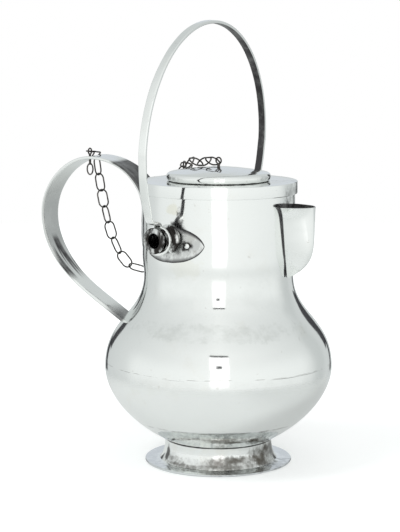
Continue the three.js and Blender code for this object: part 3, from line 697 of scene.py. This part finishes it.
# Painted shade inside the cup and along its edges against the neck
shade_and_dirt = np.zeros((count, width))
shade_and_dirt[len(outer):] = 1
shade_and_dirt[:len(outer), [0, 1, 2, -3, -2, -1]] = 1
paint_shade_and_dirt(spout, shade_and_dirt)

# Strap handle: a leaf on the neck, a loop and a foot on the shoulder
LEAF_STEPS, RISE_STEPS, FALL_STEPS, SWEEP_STEPS, FOOT_RINGS = 29, 30, 36, 36, 8
RISE_END = LEAF_STEPS + RISE_STEPS
# Shares of the leaf's length and of its full width
LEAF_SHARES = [0, 0.015, 0.03, 0.07, 0.12, 0.22, 0.45, 0.75, 1]
LEAF_WIDTHS = [0.16, 0.42, 0.58, 0.76, 0.87, 0.96, 1, 0.98, 0.94]
EDGE, CROWN, SUNK = 0.9, 0.35, 0.8
crest, bend, foot_end = (109, LOOP_TOP), (155.2, 187), (108.2, 122.2)
leaf = [(LEAF_RADIUS, z) for z in np.linspace(LEAF_FOOT, LEAF_TOP, LEAF_STEPS + 1)]
rise = bezier(leaf[-1], (LEAF_RADIUS, 219), (LEAF_RADIUS + 23, LOOP_TOP), crest, steps=RISE_STEPS)
fall = bezier(crest, (133, LOOP_TOP), (bend[0], 211), bend, steps=FALL_STEPS)
sweep = bezier(bend, (bend[0], 158), (133.7, 138.1), foot_end, steps=SWEEP_STEPS)
centre = joined(leaf, rise, fall, sweep)
steps_along = np.arange(len(centre))
leaf_share = np.clip(steps_along / LEAF_STEPS, 0, 1)
rise_share = np.clip((steps_along - LEAF_STEPS) / RISE_STEPS, 0, 1)
loop_share = np.clip((steps_along - RISE_END) / (FALL_STEPS + SWEEP_STEPS), 0, 1)
leaf_width = LEAF_WIDTH * np.interp(leaf_share, LEAF_SHARES, LEAF_WIDTHS)
rise_width = np.interp(rise_share * 1.6, [0, 1], [LEAF_TOP_WIDTH, LOOP_WIDTH])
widths = np.where(steps_along <= LEAF_STEPS, leaf_width, rise_width)
widths = np.where(steps_along > RISE_END, LOOP_WIDTH + (FOOT_WIDTH - LOOP_WIDTH) * loop_share, widths)
wraps = np.clip(1 - rise_share * 2.2, 0, 1)


def strap_section(width):
    """(across, side) points round the strap. Side is 1 on the face towards the loop, -1 on the other."""
    edge = [(-width / 2 + EDGE * (1 - math.cos(a)), math.sin(a)) for a in np.linspace(0.15, math.pi / 2, 5)]
    flat = [(y, 1.0) for y in np.linspace(-width / 2 + EDGE, width / 2 - EDGE, 15)[1:-1]]
    first_half = edge + flat + [(-y, side) for y, side in edge[::-1]]
    return first_half + [(y, -side) for y, side in first_half[::-1]]


def strap_ring(at, run, width, wrap):
    """One section, bent round the neck as far as wrap says and slightly crowned beyond it."""
    ring = []
    for y, side in strap_section(width):
        radius = LEAF_RADIUS + side * STRAP / 2
        hollow = wrap * (radius - math.sqrt(radius * radius - y * y))
        lift = side * STRAP / 2 - (1 - wrap) * CROWN * (2 * y / width) ** 2
        ring.append((-(at[0] + lift * run[1] - hollow), y, at[1] - lift * run[0]))
    return ring


def way_in(point, run):
    """How far a point runs on until it is inside the shoulder."""
    trail = point + np.arange(0, 60, 0.1)[:, None] * run
    shoulder = np.interp(trail[:, 2], outer_line[:, 1], outer_line[:, 0])
    buried = np.hypot(trail[:, 0], trail[:, 1]) <= shoulder - SUNK
    return 0.1 * int(buried.argmax())


def span(value, low, high, soft):
    """1 between low and high, fading over soft, for arrays."""
    return np.clip((value - low) / soft + 0.5, 0, 1) * np.clip((high - value) / soft + 0.5, 0, 1)


rings = [strap_ring(*row) for row in zip(centre, directions(centre), widths, wraps)]
last_run = (sweep[-1] - sweep[-2]) / np.linalg.norm(sweep[-1] - sweep[-2])
into = np.array([-last_run[0], 0, last_run[1]])
last = np.array(rings[-1])
depths = np.array([way_in(point, into) for point in last])
rings += [last + depths[:, None] * into * k / FOOT_RINGS for k in range(1, FOOT_RINGS + 1)]
rings = np.array(rings)
strap = piece("strap_handle", *capped(rings), "jug", strap_silver, stands_for=["side_handle"],
              dents=((0.30, 30.0, 3.0), (0.10, 10.0, 8.0)))

# Painted shade and painted dark reflections on the strap, by the place along it, the reach from the axis and
# the place across
reach, beside = -rings[:, :, 0], rings[:, :, 1]
place = np.arange(len(rings))[:, None] + 0 * reach
loop_side = np.zeros(rings.shape[:2])
loop_side[:, :rings.shape[1] // 2] = 1
spots = [[Vector((0.35 * y, 0.035 * i, 4.0)) for y in row] for i, row in enumerate(beside)]
streak = np.array([[noise.noise(spot) for spot in row] for row in spots])
streak = np.clip((streak + 0.15) / 0.35, 0, 1)
on_rise = span(place, LEAF_STEPS, RISE_END, 4) * span(reach, 60, 89, 3)
shade_and_dirt = 1.1 * (1 - loop_side) * on_rise * (0.85 + 0.15 * streak)
shade_and_dirt += 0.40 * loop_side * span(place, 78, 112, 14)
shade_and_dirt += 1.4 * loop_side * span(place, 105, 120, 5) * streak
shade_and_dirt += 0.8 * span(place, len(rings) - FOOT_RINGS * 0.6, len(rings) + 9, 3)
shade_and_dirt += 0.9 * span(place, -9, 26, 4) * span(beside, -40, -12.5, 1.0)
paint_shade_and_dirt(strap, np.clip(shade_and_dirt, 0, 1))


# Rivets
def rivet(name, bearing, level, seat, node):
    """A rivet through the neck, with one head inside and a domed one outside on its seat."""
    tail, head, shank_end = 56.6, 57.6, seat - 0.2
    profile = [
        (0.02, tail), (1.2, tail), (RIVET_HEAD, tail + 0.7), (RIVET_HEAD, head),
        (RIVET_RADIUS, head), (RIVET_RADIUS, shank_end), (RIVET_HEAD, shank_end),
    ]
    angles = np.linspace(0, math.pi / 2 - 0.01, 8)
    profile += [(RIVET_HEAD * math.cos(a), seat + RIVET_DOME * math.sin(a)) for a in angles]
    points, faces = turned(profile, 28)
    piece(name, outward(points, bearing, level), faces, "jug", rivet_silver, stands_for=[node])


lug_bearing = math.atan2(PIVOT[1], PIVOT[0])
plate_level = PIVOT[2] - PLATE_DROP
rivet("rivet_handle", math.pi, 168.5, LEAF_RADIUS + STRAP / 2, "handle_rivet")


# Lugs: a plate bent round the neck and a hollow boss on it
def plate_row(bearing, half):
    """One upright section of a plate, its outer edges bevelled."""
    bevel = min(0.5, half * 0.3)
    nearly = PLATE_RADIUS - 0.3 * bevel
    row = [(NECK_RADIUS + FIT_GAP, -half), (PLATE_RADIUS - bevel, -half), (nearly, -half + 0.3 * bevel)]
    row += [(PLATE_RADIUS, z) for z in np.linspace(-half + bevel, half - bevel, 9)]
    row += [(nearly, half - 0.3 * bevel), (PLATE_RADIUS - bevel, half), (NECK_RADIUS + FIT_GAP, half)]
    return [(radius * math.cos(bearing), radius * math.sin(bearing), plate_level + z) for radius, z in row]


def lug_plate(end, side):
    """The leaf-shaped plate, dark along its edges with painted shade of the gap and with dirt."""
    rows = []
    for share in np.sin(np.linspace(-math.pi / 2, math.pi / 2, 61)) * 0.999:
        fullness = (1 - abs(share) ** PLATE_FULLNESS) ** PLATE_TAPER
        half = max(PLATE_HALF_HEIGHT * fullness, PLATE_TIP)
        rows.append(plate_row(side * lug_bearing + PLATE_HALF_ANGLE * share, half))
    rows = np.array(rows)
    made = piece(f"lug_leaf_{end}", *capped(rows), "jug", plate_silver,
                 stands_for=[f"lug_plate_{end}"], dents=((0.25, 9.0, 2.0 + side),))
    # Painted shade and dirt along the plate's edges
    shade_and_dirt = np.zeros(rows.shape[:2])
    shade_and_dirt[:, [0, 1, 2, 3, -4, -3, -2, -1]] = 1
    shade_and_dirt[:2], shade_and_dirt[-2:] = 1, 1
    paint_shade_and_dirt(made, shade_and_dirt)


def lug_boss(end, side):
    """The boss, a stud with a lip round its hollow end."""
    top = math.hypot(PIVOT[0], PIVOT[1]) + STRIP_THICK_HALF + LIP_GAP + LIP_THICKNESS
    lip_start, base, bottom = top - LIP_THICKNESS, PLATE_RADIUS - 1.6, PLATE_RADIUS + BOSS_FLOOR
    profile = eased([
        (NEAR_AXIS, base), (BOSS_BASE, base), (BOSS_BASE, PLATE_RADIUS + 0.6), (8.6, PLATE_RADIUS + 1.8),
        (BOSS_RADIUS, PLATE_RADIUS + 3.4), (BOSS_RADIUS, lip_start - 0.4), (BOSS_LIP, lip_start),
        (BOSS_LIP, top - 0.3), (BOSS_LIP - 1, top), (BOSS_HOLE + 0.8, top),
        (BOSS_HOLE, top - 0.9), (BOSS_HOLE, bottom), (NEAR_AXIS, bottom),
    ], 0.6)
    points, faces = turned(profile, 72)
    piece(f"lug_hollow_boss_{end}", outward(points, side * lug_bearing, PIVOT[2]), faces, "jug", lug_silver,
          stands_for=[f"lug_boss_{end}"], dents=((0.18, 5.0, 4.0 + side),))


for end, side in (("near", -1), ("far", 1)):
    for place_name, sign in (("back", 1), ("front", -1)):
        bearing = lug_bearing + sign * PLATE_HALF_ANGLE - sign * RIVET_INSET / NECK_RADIUS
        node = f"lug_rivet_{end}_{place_name}"
        rivet(f"rivet_{end}_{place_name}", side * bearing, plate_level, PLATE_RADIUS, node)
    lug_plate(end, side)
    lug_boss(end, side)

# Bail: a flat hoop with an eye at each end, leaned a little
LEG_START = 9.4
# Each is a share of the leg's way out and a share of its way up
LEG_CLIMB = [
    (0.02, -0.028), (0.122, 0), (0.295, 0.008), (0.45, 0.037), (0.555, 0.1),
    (0.65, 0.226), (0.77, 0.376), (0.914, 0.645), (1, 1),
]
leg_points = [(0, PIVOT[1], LEG_START)]
for out, up in LEG_CLIMB:
    leg_points.append((0, PIVOT[1] + (BAIL_HALF - PIVOT[1]) * out, LIP_RUN + (LEG_TOP - LIP_RUN) * up))
leg = smooth_path(leg_points, 72)[:, 1:]
arch_angles = np.linspace(0, math.pi, 97)[1:-1]
arch = np.array([(BAIL_HALF * math.cos(a), LEG_TOP + ARCH_RISE * math.sin(a)) for a in arch_angles])
line = np.vstack([leg, arch, leg[::-1] * (-1, 1)])
section = []
for start, x_side, y_side in ((0, 1, 1), (90, -1, 1), (180, -1, -1), (270, 1, -1)):
    corner = (x_side * (STRIP_HALF - STRIP_ROUND), y_side * (STRIP_THICK_HALF - STRIP_ROUND))
    for a in np.radians([start, start + 22, start + 45, start + 68, start + 90]):
        section.append((corner[0] + STRIP_ROUND * math.cos(a), corner[1] + STRIP_ROUND * math.sin(a)))
hoop = []
for at, run in zip(line, directions(line)):
    hoop.append([(x, at[0] + run[1] * out, at[1] - run[0] * out) for x, out in section])
eye_points, eye_faces = turned(eased([
    (EYE_INNER, -STRIP_THICK_HALF), (EYE_OUTER, -STRIP_THICK_HALF),
    (EYE_OUTER, STRIP_THICK_HALF), (EYE_INNER, STRIP_THICK_HALF),
], 0.7), 72)
eye_x, eye_z, eye_y = eye_points.T
eyes = [(np.stack([eye_x, side * PIVOT[1] + eye_y, eye_z], axis=1), eye_faces) for side in (-1, 1)]
points, faces = together(capped(np.array(hoop)), *eyes)
x, z = points[:, 0].copy(), points[:, 2].copy()
points[:, 0] = PIVOT[0] + x * math.cos(BAIL_LEAN) + z * math.sin(BAIL_LEAN)
points[:, 2] = PIVOT[2] - x * math.sin(BAIL_LEAN) + z * math.cos(BAIL_LEAN)
bail = piece("bail_handle", points, faces, "bail", bail_silver, stands_for=["bail_hoop"],
             dents=((0.16, 26.0, 6.0), (0.05, 6.0, 2.0)))

# The bail's inner face is dark with painted shade
towards = np.array([0, 0, PIVOT[2] + 66]) - points
towards[:, 0] = 0
towards /= np.linalg.norm(towards, axis=1)[:, None]
paint_shade_and_dirt(bail, np.clip(((vertex_normals(bail.data) * towards).sum(1) - 0.35) / 0.4, 0, 1))


# Chain: each link takes its place from its solid
def link_from(node, body):
    """A link of round wire whose middle, directions and size are those of its solid."""
    corners = np.array([v.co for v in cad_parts[node].data.vertices], float)
    middle = corners.mean(0)
    spread = np.linalg.svd(corners - middle, full_matrices=False)[2]
    long_half, wide_half = [(np.abs((corners - middle) @ axis)).max() / MM for axis in spread[:2]]
    straight, curve = long_half - wide_half, wide_half - WIRE
    path = []
    for sign in (1, -1):
        for a in np.radians(np.linspace(-90, 90, 13)):
            along = spread[0] * sign * (straight + curve * math.cos(a))
            path.append(along + spread[1] * sign * curve * math.sin(a))
    path = np.array(path) + (middle - AXIS_FOOT) / MM
    shape = tube(path, WIRE, spread[2])
    piece(f"wire_{node}", *shape, body, dark_wire, slot="dark_silver", stands_for=[node])


for i in range(1, 16):
    link_from(f"chain_link_{i:02d}", f"link_{i:02d}")
for i in range(1, 7):
    link_from(f"lid_link_{i}", "lid_pin_and_chain")


# Split pins
def eye_ring(centre, axis):
    """The round eye of a pin, its hole along the axis."""
    axis = np.array(axis, float) / np.linalg.norm(axis)
    across = np.cross(axis, (0, 0, 1))
    across /= np.linalg.norm(across)
    up = np.cross(across, axis)
    angle = 2 * math.pi * np.arange(28)[:, None] / 28
    path = np.array(centre) + PIN_EYE * np.cos(angle) * across + PIN_EYE * np.sin(angle) * up
    return tube(path, WIRE, axis)


def shank(x, low, high, radius, sides):
    """The upright shank of a pin."""
    return tube([(x, 0, z) for z in np.linspace(low, high, 8)], radius, (1, 0, 0), closed=False, sides=sides)


lid_eye = DISC_TOP + DOME_HEIGHT + PIN_EYE_HEIGHT
tail_level = RIM_LEVEL - 1.2
tails = [(x, 0, tail_level - 0.02 * x * x) for x in np.linspace(-6, 6, 13)]
shape = together(
    shank(0, tail_level, lid_eye - SHANK_TO_EYE, LID_SHANK, 16),
    tube(tails, LID_TAIL, (0, 1, 0), closed=False),
    eye_ring((0, 0, lid_eye), (0.1, 1, 0)),
)
piece("lid_split_pin", *shape, "lid_pin_and_chain", dark_wire, slot="dark_silver", stands_for=["lid_pin"])

# The handle's pin ends in a loop under the strap, which stands slanted
LOOP_SLANT = (0.88, 0.47)
handle_eye = STRAP_TOP + PIN_EYE + 0.8
loop_level = LOOP_TOP - STRAP / 2 - LOOP_DROP
angle = 2 * math.pi * np.arange(32) / 32
across = LOOP_WIDE * np.cos(angle)
loop_path = np.stack([
    -PIN_REACH + across * LOOP_SLANT[0], across * LOOP_SLANT[1], loop_level + LOOP_HIGH * np.sin(angle),
], axis=1)
shape = together(
    shank(-PIN_REACH, loop_level + LOOP_HIGH - 1, handle_eye - SHANK_TO_EYE, HANDLE_SHANK, 14),
    eye_ring((-PIN_REACH, 0, handle_eye), (1, 0, 0)),
    tube(loop_path, WIRE, (-LOOP_SLANT[1], LOOP_SLANT[0], 0)),
)
piece("handle_split_pin", *shape, "jug", dark_wire, slot="dark_silver", stands_for=["handle_pin"])

# The three-cornered link lies over the strap, from the pin's eye to its tip beside the strap
STRAP_EDGE = LOOP_WIDTH / 2
tip = np.array([-PIN_REACH - 4.9, STRAP_EDGE + 5.4, LOOP_TOP - 3.2])
half_widths = [3.4, 3.2, 2.9, 2.2, 1.0]
middles = [
    (-PIN_REACH, 0.5, handle_eye),
    (-PIN_REACH - 0.2, STRAP_EDGE / 2, handle_eye - 0.8),
    (-PIN_REACH - 0.7, STRAP_EDGE, STRAP_TOP + 1.3),
    (tip[0], tip[1] - 3, tip[2] + 1.9),
    (tip[0], tip[1] - 0.5, tip[2] + 0.2),
]
one_side = [(x + half, y, z) for half, (x, y, z) in zip(half_widths, middles)]
other_side = [(x - half, y, z) for half, (x, y, z) in zip(half_widths, middles)]
path = smooth_path([*one_side, tip, *other_side[::-1], (-PIN_REACH, 0, handle_eye)], 72, closed=True)
shape = tube(path, WIRE, (0, 0.35, 1))
piece("hook_wire", *shape, "jug", dark_wire, slot="dark_silver", stands_for=["chain_hook_link"])

# Floor, white to the camera and in reflections, and still able to hold a shadow
FLOOR_RADIUS, FLOOR_SIDES, FLOOR_DROP = 1.6, 96, 0.0002
FLOOR_COLOUR = (0.60, 0.625, 0.62, 1)
mesh = bpy.data.meshes.new("floor")
angles = np.linspace(0, 2 * math.pi, FLOOR_SIDES, endpoint=False)
edge = [(AXIS + FLOOR_RADIUS * math.cos(a), FLOOR_RADIUS * math.sin(a), -FLOOR_DROP) for a in angles]
mesh.from_pydata(edge, [], [tuple(range(FLOOR_SIDES))])
floor = add_object("floor", mesh)
material, n = new_material("pale_floor")
rays = n.add("ShaderNodeLightPath").outputs
place = n.place()
reach = n.add("ShaderNodeVectorMath", {0: place, 1: AXIS_FOOT}, operation="DISTANCE").outputs["Value"]
x, y, z = n.parts(place)
to_right = n.plus(n.times(n.minus(x, AXIS), right.x), n.times(y, right.y))
camera_glow = n.plus(0.47, n.times(n.ramp(reach, 0.12, 0.6), 0.25))
camera_glow = n.plus(camera_glow, n.times(n.ramp(to_right, 0.03, 0.12), 0.05))
seen_glow = n.minus(0.21, n.times(n.ramp(to_right, 0.02, 0.14), 0.09))
strength = n.plus(n.times(rays["Is Camera Ray"], camera_glow), n.times(rays["Is Glossy Ray"], seen_glow))
matt = n.add("ShaderNodeBsdfDiffuse", {"Color": FLOOR_COLOUR})
glow = n.add("ShaderNodeEmission", {"Color": WHITE, "Strength": strength})
both = n.add("ShaderNodeAddShader", {0: matt.outputs[0], 1: glow.outputs[0]})
clear = n.add("ShaderNodeBsdfTransparent")
gone = n.times(rays["Is Glossy Ray"], n.ramp(reach, 0.16, 0.36))
shown = n.add("ShaderNodeMixShader", {0: gone, 1: both.outputs[0], 2: clear.outputs[0]})
n.add("ShaderNodeOutputMaterial", {"Surface": shown.outputs[0]})
mesh.materials.append(material)

# World: plain light for the floor, and a studio with a bright strip and dark gaps in what metal reflects
SOFT_WHITE, SIDE_GREY = (0.98, 1.0, 0.99, 1), (0.62, 0.65, 0.65, 1)
FLOOR_GREY, FAR_FLOOR_GREY = (0.82, 0.85, 0.84, 1), (0.60, 0.63, 0.62, 1)
PALE_BAND, BLUE_GREY, MID_GREY = (1.03, 1.06, 1.05, 1), (0.66, 0.70, 0.74, 1), (0.45, 0.48, 0.48, 1)
BRIGHT, NEAR_BLACK = (1.3, 1.3, 1.3, 1), (0.03, 0.03, 0.035, 1)
PLAIN_GREY = (0.72, 0.72, 0.72, 1)
# Each is low bearing, high bearing, low level, high level, in degrees
DARK_AREAS = (
    (145, 160, -1, 16.5), (-157, -146, -1, 15), (153, 160, -12, 0), (-162, -152, -12, 0),
    (-10, 11, 39.3, 42.2), (-4, 2, 18.5, 23.5),
)
world = bpy.data.worlds.new("studio")
bpy.context.scene.world = world
world.use_nodes = True
n = Nodes(world.node_tree)
x, y, z = n.parts(n.add("ShaderNodeTexCoord").outputs["Generated"])
# Bearing is measured from the camera's side, positive to the right, in degrees
along = n.plus(n.times(x, -ahead.x), n.times(y, -ahead.y))
aside = n.plus(n.times(x, right.x), n.times(y, right.y))
bearing = n.times(n.math("ARCTAN2", aside, along), 180 / math.pi)
level = n.times(n.math("ARCSINE", z), 180 / math.pi)
apart = n.math("ABSOLUTE", bearing)


def area(low_bearing, high_bearing, low_level, high_level, soft=0.8):
    """1 inside an area of the studio, fading at its edges."""
    across = n.window(bearing, low_bearing, high_bearing, soft)
    up = n.window(level, low_level, high_level, soft)
    return n.times(across, up)


studio = n.mix(n.ramp(apart, 0, 150, smooth=False), SOFT_WHITE, SIDE_GREY)
below = n.mix(n.ramp(apart, 20, 150, smooth=False), FLOOR_GREY, FAR_FLOOR_GREY)
studio = n.mix(n.ramp(level, -14, -34), studio, below)
band = n.times(n.window(level, -14, 16, 14), n.rest(n.ramp(apart, 90, 112)))
studio = n.mix(n.times(band, 0.45), studio, PALE_BAND)
studio = n.mix(n.times(n.ramp(level, 38, 62), 0.16), studio, SIDE_GREY)
studio = n.mix(n.times(area(112, 134, -24, 30, 7), 0.4), studio, MID_GREY)
studio = n.mix(n.times(n.ramp(apart, 161, 169), n.window(level, 4, 22, 3)), studio, BLUE_GREY)
strip_height = n.times(n.ramp(level, -21, -5), n.rest(n.ramp(level, 38.7, 40.3)))
studio = n.mix(n.times(n.window(bearing, -10, 11, 0.8), strip_height), studio, BRIGHT)
for dark_area in DARK_AREAS:
    studio = n.mix(n.times(area(*dark_area), 0.95), studio, NEAR_BLACK)
rays = n.add("ShaderNodeLightPath").outputs
plain = n.mix(rays["Is Camera Ray"], PLAIN_GREY, WHITE)
colour = n.mix(rays["Is Glossy Ray"], plain, studio)
background = n.add("ShaderNodeBackground", {"Color": colour, "Strength": 1.0})
n.add("ShaderNodeOutputWorld", {"Surface": background.outputs[0]})


# Soft lamps, not seen in reflections
def lamp(name, place, target, size, power):
    data = bpy.data.lights.new(name, "AREA")
    data.shape, data.size, data.energy = "DISK", size, power
    made = add_object(name, data)
    aim(made, place, target - place)
    made.visible_glossy = False


middle = Vector((AXIS, 0, 0.12))
lamp("key", middle - ahead * 0.5 - right * 0.9 + Vector((0, 0, 1.3)), middle, 0.7, 9)
lamp("fill", middle - ahead * 0.9 + right * 0.8 + Vector((0, 0, 1.0)), middle, 0.9, 3)

view = bpy.context.scene.view_settings
view.view_transform = "Standard"
